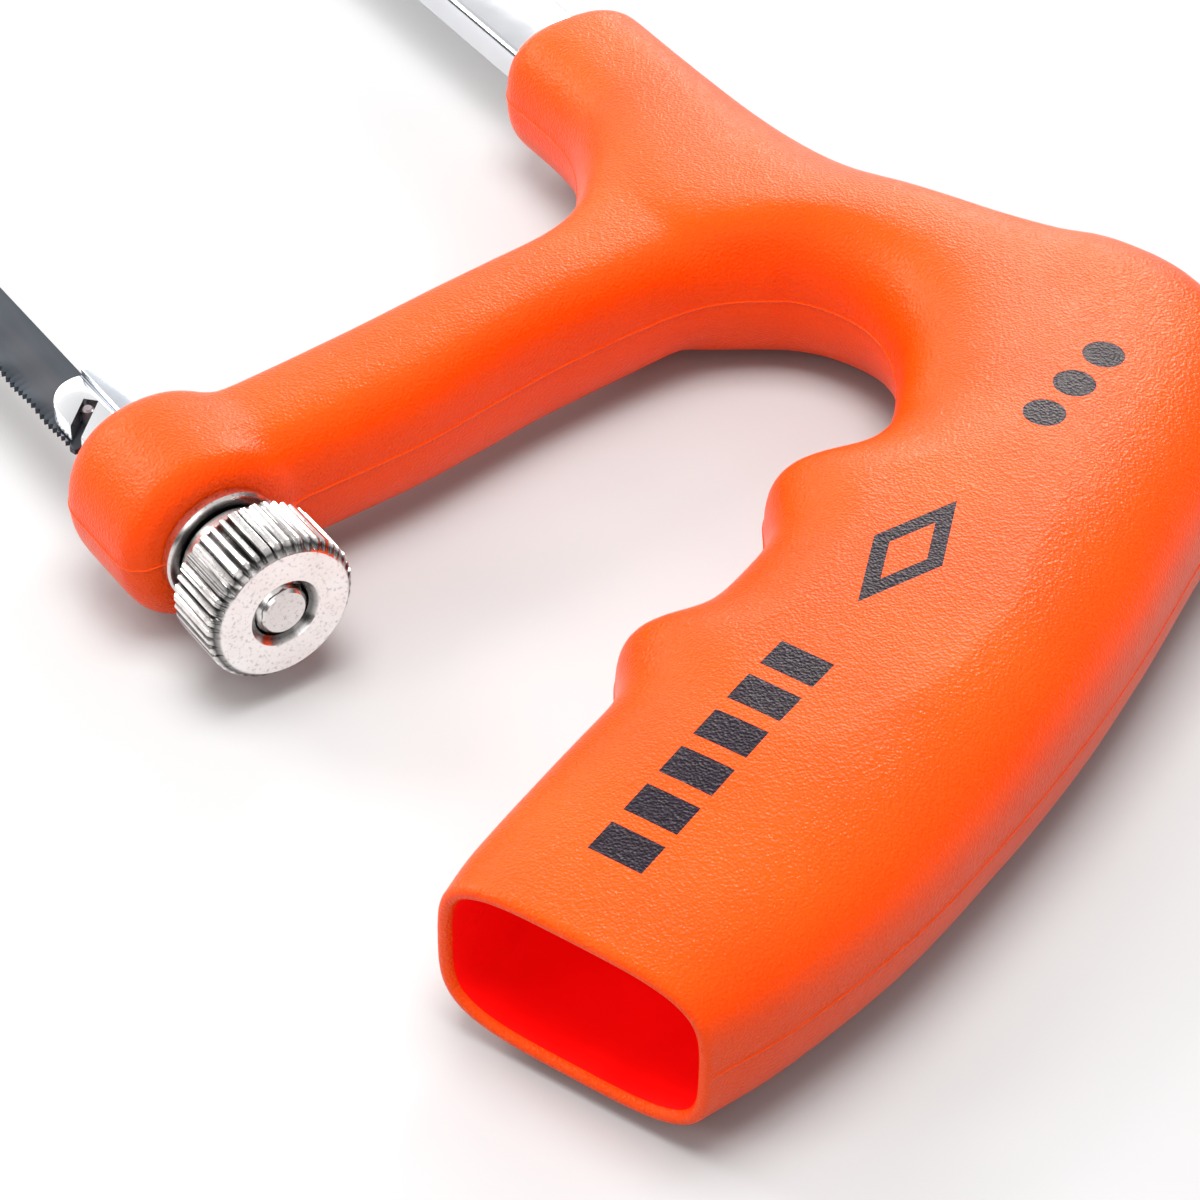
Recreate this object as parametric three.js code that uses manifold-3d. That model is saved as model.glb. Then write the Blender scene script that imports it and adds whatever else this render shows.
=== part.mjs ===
// Junior hacksaw: a pistol-grip frame saw that holds a 150 mm pin-end blade.
//
// Millimetres, +Z up. The saw lies on its side. While it is being built the drawbolt's axis is the
// X axis: +X runs from the blade's front towards the grip, +Y from the teeth towards the top bar.
// The last lines move the whole saw so that its origin is the middle of its underside.

import * as THREE from 'three';
import { mergeVertices } from 'three/addons/utils/BufferGeometryUtils.js';
import Module from 'manifold-3d';

const wasm = await Module();
wasm.setup();

// ---- Driving dimensions -------------------------------------------------------------------------

const gap = 0.3; // running and seating clearance between separate pieces

const bladeLength = 150; // from pin to pin
const bladeWidth = 6;
const bladeThickness = 0.65;
const bladeTail = 2.4; // blade beyond each pin
const pinRadius = 0.55;
const pinLength = 4.4;
const rearPin = { x: 1.1, y: -1.6 };

const barWidth = 9;
const barThickness = 4;
const barLow = 60.8; // lower edge of the top bar
const barEdge = 0.6; // rounding of the bar's long edges
const barTail = 8; // the bar's hidden end, inside the handle
const cornerRadius = 7; // inside radius of the frame's front corner
const slitWidth = bladeThickness + 2 * gap;
const notchWidth = 2 * (pinRadius + gap);
const notchSlant = THREE.MathUtils.degToRad(46);

const headTip = -3.25;
const headLow = -4.2;
const headHigh = 2.2;
const headHalf = 2.3; // half thickness of the drawbolt's flat head
const noseMiddle = -0.7; // height of the head's foremost point
const noseRun = 0.6; // how much further back the nose's lower curve ends than its upper one
const underLow = -2.8; // lower edge of the head's half under the blade
const ribLow = 0.1; // the head is thicker from here up to its upper edge
const ribHalf = 3.05;
const headEnd = 13.5;
const threadRadius = 2.5; // M5
const boltEnd = 31.9;

const bossFront = 6.2;
const bossRear = 20.9;
const bossReach = 8.7; // from the drawbolt's axis to the boss's rounded end
const bossHalf = 8.4; // half thickness of the boss
const washerThickness = 0.9;
const washerRadius = 5.65;
const nutStart = bossRear + 2 * gap + washerThickness;
const nutHubEnd = 25.2;
const nutRimEnd = 31.1;
const nutEnd = 32;
const nutRadius = 7.1;

const mouth = { x: 82.7, y: -5.3 }; // middle of the grip's open end
const mouthSlant = THREE.MathUtils.degToRad(20.7);
const gripLength = 105; // from the open end to the top of the horn
const hollowLength = 60;
const hollowMiddle = -0.3; // the hollow's middle, across the grip
const sideFlat = 9.6; // half the distance between the grip's two flat cheeks

// ---- Geometry helpers ---------------------------------------------------------------------------

// A smooth curve through a few [place, value] pairs, held level beyond the first and the last.
function smooth(points) {
  const slopes = points.map((point, index) => {
    const before = points[Math.max(index - 1, 0)];
    const after = points[Math.min(index + 1, points.length - 1)];
    return (after[1] - before[1]) / (after[0] - before[0]);
  });
  return (place) => {
    const held = THREE.MathUtils.clamp(place, points[0][0], points.at(-1)[0]);
    let index = 0;
    while (index < points.length - 2 && held > points[index + 1][0]) index += 1;
    const [start, from] = points[index];
    const [end, to] = points[index + 1];
    const span = end - start;
    const part = (held - start) / span;
    const square = part * part;
    const cube = square * part;
    const fromTerm = (2 * cube - 3 * square + 1) * from + (cube - 2 * square + part) * span * slopes[index];
    const toTerm = (3 * square - 2 * cube) * to + (cube - square) * span * slopes[index + 1];
    return fromTerm + toTerm;
  };
}

// Places from start to end in equal steps of about the given size.
function steps(start, end, size) {
  const count = Math.ceil(Math.abs(end - start) / size);
  return Array.from({ length: count + 1 }, (_, index) => start + ((end - start) * index) / count);
}

// How much of its full size a section keeps at a distance inside a rounded end.
function roundedEnd(distance, radius) {
  const part = THREE.MathUtils.clamp(1 - distance / radius, 0, 1);
  return Math.sqrt(1 - part * part);
}

// A closed body through rounded sections. A section is { at, low, high, half }: where it lies,
// how far it reaches across, and half its thickness. toPoint turns (at, across, up) into a point.
function loft(sections, squareness, toPoint, sides = 20) {
  const positions = [];
  const indices = [];
  const addPoint = (at, across, up) => {
    positions.push(...toPoint(at, across, up));
    return positions.length / 3 - 1;
  };
  const rings = sections.map(({ at, low, high, half }) => {
    const middle = (low + high) / 2;
    const reach = (high - low) / 2;
    return Array.from({ length: sides }, (_, side) => {
      const turn = (2 * Math.PI * side) / sides;
      const shape = (value) => Math.sign(value) * Math.abs(value) ** (2 / squareness);
      return addPoint(at, middle + reach * shape(Math.cos(turn)), half * shape(Math.sin(turn)));
    });
  });
  rings.slice(1).forEach((ring, index) => {
    const last = rings[index];
    ring.forEach((corner, side) => {
      const next = (side + 1) % sides;
      indices.push(last[side], last[next], ring[next], last[side], ring[next], corner);
    });
  });
  [rings[0], rings.at(-1)].forEach((ring, end) => {
    const { at, low, high } = end === 0 ? sections[0] : sections.at(-1);
    const centre = addPoint(at, (low + high) / 2, 0);
    ring.forEach((corner, side) => {
      const next = ring[(side + 1) % sides];
      indices.push(...(end === 0 ? [centre, next, corner] : [centre, corner, next]));
    });
  });
  const geometry = new THREE.BufferGeometry();
  geometry.setAttribute('position', new THREE.Float32BufferAttribute(positions, 3));
  geometry.setIndex(indices);
  return geometry;
}

// A closed three.js geometry as a manifold solid, whichever way round its faces were listed.
function solid(geometry) {
  const bare = geometry.clone();
  bare.deleteAttribute('normal');
  bare.deleteAttribute('uv');
  const merged = mergeVertices(bare, 1e-4);
  const vertProperties = new Float32Array(merged.attributes.position.array);
  const triVerts = new Uint32Array(merged.index.array);
  if (enclosedVolume(vertProperties, triVerts) < 0) triVerts.reverse();
  return new wasm.Manifold(new wasm.Mesh({ numProp: 3, vertProperties, triVerts }));
}

function enclosedVolume(vertices, triangles) {
  const corner = (index) => new THREE.Vector3().fromArray(vertices, 3 * triangles[index]);
  let volume = 0;
  for (let index = 0; index < triangles.length; index += 3) {
    volume += corner(index).dot(corner(index + 1).cross(corner(index + 2))) / 6;
  }
  return volume;
}

function toGeometry(body) {
  const { vertProperties, triVerts } = body.getMesh();
  const geometry = new THREE.BufferGeometry();
  geometry.setAttribute('position', new THREE.BufferAttribute(new Float32Array(vertProperties), 3));
  geometry.setIndex(new THREE.BufferAttribute(new Uint32Array(triVerts), 1));
  return geometry;
}

// A box between two corners.
function block(low, high) {
  const size = high.map((value, axis) => value - low[axis]);
  const geometry = new THREE.BoxGeometry(...size);
  return geometry.translate(...high.map((value, axis) => (value + low[axis]) / 2));
}

// A turned piece around the X axis, from [x, radius] corners that start and end on the axis
// or close on themselves.
function turned(corners, sides = 32) {
  const profile = corners.map(([along, radius]) => new THREE.Vector2(radius, along));
  return new THREE.LatheGeometry(profile, sides).rotateZ(-Math.PI / 2);
}

// An outline in the XY plane, thickened about z = 0, its long edges rounded if edge is given.
function plate(shape, thickness, edge = 0) {
  const geometry = new THREE.ExtrudeGeometry(shape, {
    depth: thickness - 2 * edge,
    bevelEnabled: edge > 0,
    bevelSize: edge,
    bevelOffset: -edge,
    bevelThickness: edge,
    bevelSegments: 2,
    curveSegments: 10,
  });
  return geometry.translate(0, 0, edge - thickness / 2);
}

function finish(name, geometry, color, roughness, metalness) {
  const material = new THREE.MeshStandardMaterial({ color, roughness, metalness });
  const flat = geometry.index ? geometry.toNonIndexed() : geometry;
  flat.computeVertexNormals();
  const mesh = new THREE.Mesh(mergeVertices(flat), material);
  mesh.name = name;
  return mesh;
}

// ---- Handle: one hollow plastic moulding --------------------------------------------------------

// Two finger ridges stand out of the grip's front.
function ridge(place, centre, height, width) {
  return height * Math.exp(-(((place - centre) / width) ** 2));
}

// Along the grip, places count from the open end towards the horn and across counts rearwards.
function gripPoint(at, across, up) {
  const x = mouth.x - at * Math.sin(mouthSlant) + across * Math.cos(mouthSlant);
  const y = mouth.y + at * Math.cos(mouthSlant) + across * Math.sin(mouthSlant);
  return [x, y, up];
}

function gripBody() {
  const plainFront = smooth([[0, -12.9], [5, -13.8], [16, -14.5], [26, -14.8], [46, -15], [72, -15.6],
    [79, -19.2], [90, -22], [98, -20], [gripLength, -14]]);
  const back = smooth([[0, 12.3], [8, 14.9], [22, 17.3], [36, 17.7], [50, 17.2], [61, 16.1], [74, 14.2],
    [82, 13.2], [90, 11.2], [96.5, 7], [100, 2.8], [103, -2.4], [gripLength, -9]]);
  const half = smooth([[0, 8.1], [12, 8.7], [26, 9.6], [40, 10], [56, 10], [72, 9.5], [90, 9]]);
  const sections = steps(0, gripLength, 2.4).map((at) => ({
    at,
    low: plainFront(at) - ridge(at, 33.3, 3.6, 4.2) - ridge(at, 57.8, 4.7, 5.2),
    high: back(at),
    half: half(at) * Math.max(roundedEnd(gripLength - at, 9), 0.3),
  }));
  return solid(loft(sections, 2.8, gripPoint));
}

// The web and socket nose run forward from the horn, around the end of the bar.
function webBody() {
  const nose = -24.5;
  const low = smooth([[nose, 57], [-13, 57.2], [-8, 56.4], [-4, 54.3], [0, 51.3], [4, 48.3], [9, 47],
    [14, 50], [17.4, 56], [19.4, 59.6], [22.6, 62.5], [27.5, 64.3], [31.5, 64], [35.6, 62.2], [40, 58.5],
    [45, 53]]);
  const high = smooth([[nose, 73], [-3, 73], [10, 74.7], [18.8, 77.7], [27.7, 82], [36.2, 87.6],
    [45, 88.6]]);
  const half = smooth([[nose, 7], [-10, 7.2], [4, 8], [20, 8.6], [45, 8.9]]);
  const sections = steps(nose, 45, 2.4).map((at) => {
    const shrink = Math.max(roundedEnd(at - nose, 5), 0.6);
    const middle = (low(at) + high(at)) / 2;
    const reach = (shrink * (high(at) - low(at))) / 2;
    return { at, low: middle - reach, high: middle + reach, half: shrink * half(at) };
  });
  return solid(loft(sections, 2.7, (at, across, up) => [at, across, up]));
}

// The knuckle guard drops from the web to the drawbolt's boss.
function guardBody() {
  const front = smooth([[0, 8.4], [8, 8.2], [20, 7.2], [36, 5.9], [44, 4.9], [49, 2.6], [53, -1.5],
    [58, -6]]);
  const rear = smooth([[0, 20.2], [12, 19.9], [22, 19.5], [30, 18.3], [38, 17.2], [50, 16.7], [55, 17.4],
    [59, 19.4], [61, 21.4]]);
  const half = smooth([[0, 8.4], [2, 8.3], [4.5, 7.8], [6.8, 7.15], [7.6, 7.1], [20, 7.1], [30, 7.4]]);
  const sections = steps(0, 60, 2.4).map((at) => ({
    at,
    low: front(at),
    high: rear(at),
    half: half(at),
  }));
  return solid(loft(sections, 3.2, (at, across, up) => [across, at, up]));
}

function bossBody() {
  const length = bossRear - bossFront;
  const places = [0, 0.6, 1.6, 3, 4.8, length - 3, length - 1.6, length - 0.6, length];
  const sections = places.map((at) => {
    const frontRound = roundedEnd(at + 0.8, 5.6);
    const rearRound = roundedEnd(length - at + 1.2, 3);
    const scale = Math.min(frontRound, rearRound);
    return { at, low: -bossReach * scale, high: bossReach * scale, half: bossHalf * scale };
  });
  return solid(loft(sections, 2.15, (at, across, up) => [bossFront + at, across, up], 28));
}

function gripHollow() {
  const sections = [-2, 0, 20, 40, hollowLength - 4, hollowLength - 1, hollowLength].map((at) => {
    const draft = 1 - (0.25 * Math.max(at, 0)) / hollowLength;
    const size = draft * Math.max(roundedEnd(hollowLength - at, 4), 0.5);
    return { at, low: hollowMiddle - 11.2 * size, high: hollowMiddle + 11.2 * size, half: 6.7 * size };
  });
  return solid(loft(sections, 3.6, gripPoint, 24));
}

function makeHandle() {
  const barHigh = barLow + barWidth;
  const socketHalf = barThickness / 2 + gap;
  const socket = block([-40, barLow - gap, -socketHalf], [barTail + gap, barHigh + gap, socketHalf]);
  const pocketFor = (low, half) => solid(block([-10, low - gap, -half - gap],
    [headEnd + gap, headHigh + gap, half + gap]));
  const boreRadius = threadRadius + gap;
  const boreEnd = bossRear + 5;
  const bore = turned([[0, 0], [0, boreRadius], [boreEnd, boreRadius], [boreEnd, 0]]);
  const cheeks = block([-60, -40, -sideFlat], [120, 120, sideFlat]);
  const body = gripBody().add(webBody()).add(guardBody()).add(bossBody())
    .intersect(solid(cheeks))
    .subtract(gripHollow())
    .subtract(solid(socket))
    .subtract(pocketFor(headLow, headHalf))
    .subtract(pocketFor(ribLow, ribHalf))
    .subtract(solid(bore));
  return finish('handle', toGeometry(body), 0xee5a22, 0.45, 0);
}

// ---- Frame bar ----------------------------------------------------------------------------------

// The blade lies in a slit, and its pin in a notch that slants out through both cheeks.
// side is +1 where the notch opens towards the grip and -1 where it opens towards the front.
function bladeSeat(pin, side, slitStart, slitEnd) {
  const farBelow = 20;
  const slit = block([slitStart, pin.y - farBelow, -slitWidth / 2],
    [slitEnd, rearPin.y + bladeWidth / 2 + gap, slitWidth / 2]);
  const notchHeight = 20;
  const notchLength = 12;
  const notch = block([-notchWidth / 2, -notchWidth / 2, -notchHeight / 2],
    [notchLength, notchWidth / 2, notchHeight / 2]);
  notch.rotateZ(-notchSlant);
  if (side < 0) notch.rotateY(Math.PI);
  notch.translate(pin.x, pin.y, 0);
  return solid(slit).add(solid(notch));
}

function makeFrameBar() {
  const frontPin = { x: rearPin.x - bladeLength, y: rearPin.y };
  const legRear = frontPin.x + barWidth / 2;
  const legFront = frontPin.x - barWidth / 2;
  const legEnd = headLow - 0.8;
  const barHigh = barLow + barWidth;
  const outerRadius = cornerRadius + barWidth;
  const tipRadius = 3;
  const shape = new THREE.Shape();
  shape.moveTo(barTail, barLow);
  shape.lineTo(barTail, barHigh);
  shape.lineTo(legRear + cornerRadius, barHigh);
  shape.absarc(legRear + cornerRadius, barLow - cornerRadius, outerRadius, Math.PI / 2, Math.PI, false);
  shape.lineTo(legFront, legEnd + tipRadius);
  shape.absarc(legFront + tipRadius, legEnd + tipRadius, tipRadius, Math.PI, 1.5 * Math.PI, false);
  shape.lineTo(legRear - tipRadius, legEnd);
  shape.absarc(legRear - tipRadius, legEnd + tipRadius, tipRadius, 1.5 * Math.PI, 2 * Math.PI, false);
  shape.lineTo(legRear, barLow - cornerRadius);
  shape.absarc(legRear + cornerRadius, barLow - cornerRadius, cornerRadius, Math.PI, Math.PI / 2, true);
  const body = solid(plate(shape, barThickness, barEdge))
    .subtract(bladeSeat(frontPin, -1, legFront - 1, legRear + 1));
  return finish('frame_bar', toGeometry(body), 0xd5d5da, 0.2, 1);
}

// ---- Blade --------------------------------------------------------------------------------------

function makeBlade() {
  const half = bladeWidth / 2;
  const start = rearPin.x - bladeLength - bladeTail;
  const end = rearPin.x + bladeTail;
  const corner = 0.8;
  const shape = new THREE.Shape();
  shape.moveTo(start + corner, -half);
  shape.lineTo(end - corner, -half);
  shape.lineTo(end, corner - half);
  shape.lineTo(end, half - corner);
  shape.lineTo(end - corner, half);
  shape.lineTo(start + corner, half);
  shape.lineTo(start, half - corner);
  shape.lineTo(start, corner - half);
  for (const x of [rearPin.x - bladeLength, rearPin.x]) {
    const hole = new THREE.Path();
    hole.absarc(x, 0, pinRadius + gap, 0, 2 * Math.PI, true);
    shape.holes.push(hole);
  }
  const geometry = plate(shape, bladeThickness).translate(0, rearPin.y, 0);
  return finish('blade', toGeometry(solid(geometry)), 0x5a5758, 0.4, 0.9);
}

function makeBladePin(name, x) {
  const pin = new THREE.CylinderGeometry(pinRadius, pinRadius, pinLength, 16);
  const mesh = finish(name, toGeometry(solid(pin.rotateX(Math.PI / 2))), 0x8c8287, 0.4, 0.9);
  mesh.position.set(x, rearPin.y, 0);
  return mesh;
}

// ---- Drawbolt, washer and nut -------------------------------------------------------------------

function makeDrawbolt() {
  const shape = new THREE.Shape();
  shape.moveTo(headEnd, headLow);
  shape.lineTo(headEnd, headHigh);
  shape.lineTo(0, headHigh);
  shape.absellipse(0, noseMiddle, -headTip, headHigh - noseMiddle, Math.PI / 2, Math.PI, false);
  shape.absellipse(noseRun, noseMiddle, noseRun - headTip, noseMiddle - headLow, Math.PI, 1.5 * Math.PI);
  const shankStart = headEnd - 2;
  const buriedRadius = headHalf - 0.2;
  const chamfer = 0.5;
  const shank = turned([[shankStart, 0], [shankStart, buriedRadius], [headEnd, buriedRadius],
    [headEnd, threadRadius], [boltEnd - chamfer, threadRadius], [boltEnd, threadRadius - chamfer],
    [boltEnd, 0]]);
  const slitEnd = rearPin.x + bladeTail + 5.5;
  const ribSide = block([-10, ribLow, -ribHalf - 1], [headEnd + 1, headHigh + 1, ribHalf + 1]);
  const under = block([-10, headLow - 1, -ribHalf - 1], [headEnd, underLow, -bladeThickness / 2]);
  const body = solid(plate(shape, 2 * headHalf, 0.4))
    .add(solid(plate(shape, 2 * ribHalf, 0.4)).intersect(solid(ribSide)))
    .subtract(solid(under))
    .add(solid(shank))
    .subtract(bladeSeat(rearPin, 1, headTip - 1, slitEnd));
  return finish('drawbolt', toGeometry(body), 0xdce3eb, 0.2, 1);
}

function makeWasher() {
  const start = bossRear + gap;
  const end = start + washerThickness;
  const inner = threadRadius + gap;
  const profile = [[start, inner], [start, washerRadius], [end, washerRadius], [end, inner], [start, inner]];
  return finish('flange_washer', toGeometry(solid(turned(profile, 40))), 0xd0d2d4, 0.3, 1);
}

function makeNut() {
  const inner = threadRadius + gap;
  const hubRadius = 4.6;
  const faceRadius = 6.25;
  const sinkRadius = 3.25;
  const profile = [[nutStart, inner], [nutStart, hubRadius], [nutHubEnd, hubRadius], [nutHubEnd, nutRadius],
    [nutRimEnd, nutRadius], [nutEnd, faceRadius], [nutEnd, sinkRadius], [nutEnd - 0.6, inner],
    [nutStart, inner]];
  return finish('tension_nut', toGeometry(solid(turned(profile, 48))), 0xe3e1df, 0.25, 1);
}

// ---- The saw ------------------------------------------------------------------------------------

const saw = new THREE.Group();
saw.add(
  makeHandle(),
  makeFrameBar(),
  makeBlade(),
  makeBladePin('front_blade_pin', rearPin.x - bladeLength),
  makeBladePin('rear_blade_pin', rearPin.x),
  makeDrawbolt(),
  makeWasher(),
  makeNut(),
);

const bounds = new THREE.Box3().setFromObject(saw, true);
const middle = bounds.getCenter(new THREE.Vector3());
saw.position.set(-middle.x, -middle.y, -bounds.min.z);

const group = new THREE.Group();
group.add(saw);

export default group;
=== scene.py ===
# Junior hacksaw: the detailed visual model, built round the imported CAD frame.
#
# Shapes are described in millimetres in the saw's own axes: the drawbolt's axis is y = z = 0,
# +X runs towards the grip, +Y towards the top bar. to_row() turns such a point into the frame's metres.

import math

import bmesh
import bpy
import numpy as np
from mathutils import Matrix, Vector


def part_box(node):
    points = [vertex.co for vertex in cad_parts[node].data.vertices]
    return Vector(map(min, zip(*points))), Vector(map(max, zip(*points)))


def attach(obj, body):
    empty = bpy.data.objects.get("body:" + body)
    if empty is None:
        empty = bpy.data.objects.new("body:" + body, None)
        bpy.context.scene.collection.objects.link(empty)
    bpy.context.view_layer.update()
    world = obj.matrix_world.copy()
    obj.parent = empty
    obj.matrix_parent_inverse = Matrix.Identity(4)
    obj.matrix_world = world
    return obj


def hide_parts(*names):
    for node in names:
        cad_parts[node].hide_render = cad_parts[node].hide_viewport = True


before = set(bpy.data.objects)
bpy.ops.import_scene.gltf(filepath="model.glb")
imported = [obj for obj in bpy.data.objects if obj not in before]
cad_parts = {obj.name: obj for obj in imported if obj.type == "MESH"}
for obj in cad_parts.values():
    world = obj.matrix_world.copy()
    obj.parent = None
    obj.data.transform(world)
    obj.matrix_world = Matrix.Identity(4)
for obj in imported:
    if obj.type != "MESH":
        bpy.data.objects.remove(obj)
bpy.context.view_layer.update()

MM = 0.001

# ---- Places shared with the CAD model (millimetres in the saw's own axes) ----------------------

REAR_PIN = Vector((1.1, -1.6, 0.0))
BLADE_LENGTH = 150.0
BLADE_WIDTH = 6.0
BLADE_THICKNESS = 0.65
BLADE_TAIL = 2.4
PIN_RADIUS = 0.55
GAP = 0.3
NOTCH_SLANT = 46
BAR_LOW, BAR_WIDTH, BAR_THICKNESS, BAR_TAIL = 60.8, 9.0, 4.0, 8.0
CORNER_RADIUS = 7.0
HEAD_TIP, HEAD_LOW, HEAD_HIGH, HEAD_HALF, HEAD_END = -3.25, -4.2, 2.2, 2.3, 13.5
NOSE_MIDDLE, NOSE_RUN, UNDER_LOW = -0.7, 0.6, -2.8
RIB_LOW, RIB_HALF = 0.1, 3.05
THREAD_RADIUS, THREAD_PITCH, BOLT_END = 2.5, 0.8, 31.9
BOSS_FRONT, BOSS_REAR, BOSS_REACH, BOSS_HALF = 6.2, 20.9, 8.7, 8.4
NUT_RADIUS, NUT_HUB_END, NUT_RIM_END, NUT_END = 7.1, 25.2, 31.1, 32.0
MOUTH = Vector((82.7, -5.3, 0.0))
MOUTH_SLANT = math.radians(20.7)
GRIP_ALONG = Vector((-math.sin(MOUTH_SLANT), math.cos(MOUTH_SLANT), 0))
GRIP_ACROSS = Vector((math.cos(MOUTH_SLANT), math.sin(MOUTH_SLANT), 0))
GRIP_LENGTH, HOLLOW_LENGTH = 105.0, 60.0
SIDE_FLAT = 9.6

# ---- The plain print on the grip's upper cheek, measured up the grip from its foot ---------------

PRINT_OFFSET = 1.8
BLOCKS, BLOCKS_START, BLOCK_PITCH, BLOCK_LENGTH, BLOCK_HALF = 6, 8.0, 4.8, 3.3, 2.5
DIAMOND_PLACE, DIAMOND_HALF, DIAMOND_SLIMNESS, DIAMOND_LINE = 50.6, 3.3, 0.42, 1.5
DOTS, DOTS_START, DOT_PITCH, DOT_RADIUS = 3, 73.0, 5.2, 1.9


def middle(node):
    low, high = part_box(node)
    return (Vector(low) + Vector(high)) / 2


DATUM = middle("tension_nut")
DATUM.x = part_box("tension_nut")[1][0] - NUT_END * MM


def to_row(point):
    return DATUM + Vector(point) * MM


# ---- Mesh helpers -------------------------------------------------------------------------------

def smooth_curve(points):
    """A smooth function through a few (place, value) pairs, level beyond both ends."""
    slopes = []
    for index in range(len(points)):
        before = points[max(index - 1, 0)]
        after = points[min(index + 1, len(points) - 1)]
        slopes.append((after[1] - before[1]) / (after[0] - before[0]))

    def value(place):
        place = min(max(place, points[0][0]), points[-1][0])
        index = 0
        while index < len(points) - 2 and place > points[index + 1][0]:
            index += 1
        (start, low), (end, high) = points[index], points[index + 1]
        span = end - start
        part = (place - start) / span
        square, cube = part * part, part ** 3
        return ((2 * cube - 3 * square + 1) * low + (cube - 2 * square + part) * span * slopes[index]
                + (3 * square - 2 * cube) * high + (cube - square) * span * slopes[index + 1])

    return value


def steps(start, end, size):
    count = max(1, math.ceil(abs(end - start) / size))
    return [start + (end - start) * index / count for index in range(count + 1)]


def rounded_end(distance, radius):
    part = min(max(1 - distance / radius, 0), 1)
    return math.sqrt(1 - part * part)


def mesh_from(name, vertices, faces):
    """A mesh whose vertices are given in the saw's own millimetres."""
    mesh = bpy.data.meshes.new(name)
    mesh.from_pydata([to_row(vertex) for vertex in vertices], [], faces)
    mesh.validate()
    return mesh


def make_object(name, mesh, material=None):
    piece = bpy.data.objects.new(name, mesh)
    bpy.context.scene.collection.objects.link(piece)
    if material:
        mesh.materials.append(material)
    return piece


def apply_modifiers(piece):
    bpy.context.view_layer.update()
    evaluated = piece.evaluated_get(bpy.context.evaluated_depsgraph_get())
    mesh = bpy.data.meshes.new_from_object(evaluated)
    old = piece.data
    piece.modifiers.clear()
    piece.data = mesh
    bpy.data.meshes.remove(old)
    return piece


def cut(piece, *cutters):
    for cutter in cutters:
        boolean = piece.modifiers.new("cut", "BOOLEAN")
        boolean.operation = "DIFFERENCE"
        boolean.solver = "EXACT"
        boolean.object = cutter
        apply_modifiers(piece)
        bpy.data.objects.remove(cutter, do_unlink=True)
    return piece


def bevel(piece, width, segments=3, angle=40):
    modifier = piece.modifiers.new("bevel", "BEVEL")
    modifier.width = width * MM
    modifier.segments = segments
    modifier.limit_method = "ANGLE"
    modifier.angle_limit = math.radians(angle)
    return apply_modifiers(piece)


def shade(piece, angle=35):
    for polygon in piece.data.polygons:
        polygon.use_smooth = True
    piece.data.set_sharp_from_angle(angle=math.radians(angle))
    return piece


def grid_faces(rows, columns):
    """Quads between neighbouring rings of vertices."""
    faces = []
    for row in range(rows - 1):
        for column in range(columns):
            after = (column + 1) % columns
            faces.append((row * columns + column, row * columns + after,
                          (row + 1) * columns + after, (row + 1) * columns + column))
    return faces


def tube_faces(rows, columns):
    """The sides and the two flat ends of a rod made of rings of vertices."""
    last = (rows - 1) * columns
    return grid_faces(rows, columns) + [tuple(range(columns)), tuple(range(last, last + columns))[::-1]]


def loft(sections, squareness, place, sides):
    """Vertices and faces of a closed body through rounded sections of (at, low, high, half)."""
    vertices = []
    for at, low, high, half in sections:
        centre, reach = (low + high) / 2, (high - low) / 2
        power = 2 / squareness(at)
        for side in range(sides):
            turn = 2 * math.pi * side / sides
            across = math.copysign(abs(math.cos(turn)) ** power, math.cos(turn))
            up = math.copysign(abs(math.sin(turn)) ** power, math.sin(turn))
            vertices.append(place(at, centre + reach * across, half * up))
    faces = grid_faces(len(sections), sides)
    faces.append(tuple(range(sides))[::-1])
    last = (len(sections) - 1) * sides
    faces.append(tuple(range(last, last + sides)))
    return vertices, faces


def revolve(name, profile, sides, radius_at=None):
    """A body turned round the X axis from a closed profile of (x, radius) corners."""
    vertices = []
    for along, radius in profile:
        for side in range(sides):
            turn = 2 * math.pi * side / sides
            reach = radius_at(along, radius, turn) if radius_at else radius
            vertices.append((along, reach * math.cos(turn), reach * math.sin(turn)))
    count = len(profile)
    faces = []
    for row in range(count):
        for column in range(sides):
            after, below = (column + 1) % sides, (row + 1) % count
            faces.append((row * sides + column, row * sides + after,
                          below * sides + after, below * sides + column))
    return mesh_from(name, vertices, faces)


def fix_normals(mesh):
    work = bmesh.new()
    work.from_mesh(mesh)
    bmesh.ops.remove_doubles(work, verts=work.verts, dist=1e-7)
    bmesh.ops.recalc_face_normals(work, faces=work.faces)
    work.to_mesh(mesh)
    work.free()
    return mesh


def box_piece(low, high, turn=0.0, about=(0, 0, 0)):
    """A plain box between two corners, turned about Z, only used as a cutter."""
    corners = [(x, y, z) for x in (low[0], high[0]) for y in (low[1], high[1]) for z in (low[2], high[2])]
    spin = Matrix.Rotation(turn, 3, "Z")
    corners = [spin @ Vector(corner) + Vector(about) for corner in corners]
    faces = [(0, 1, 3, 2), (4, 6, 7, 5), (0, 4, 5, 1), (2, 3, 7, 6), (0, 2, 6, 4), (1, 5, 7, 3)]
    return make_object("cutter", fix_normals(mesh_from("cutter", corners, faces)))


def plate(name, outline, thickness):
    """A flat outline in XY, thickened about z = 0."""
    count = len(outline)
    vertices = [(x, y, -thickness / 2) for x, y in outline] + [(x, y, thickness / 2) for x, y in outline]
    faces = [tuple(range(count))[::-1], tuple(range(count, 2 * count))]
    faces += [(i, (i + 1) % count, count + (i + 1) % count, count + i) for i in range(count)]
    return fix_normals(mesh_from(name, vertices, faces))


def arc(centre, radius, start, end, count):
    """Points on an arc, angles in degrees."""
    turns = [math.radians(start + (end - start) * index / count) for index in range(count + 1)]
    return [(centre[0] + radius * math.cos(turn), centre[1] + radius * math.sin(turn)) for turn in turns]


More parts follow.
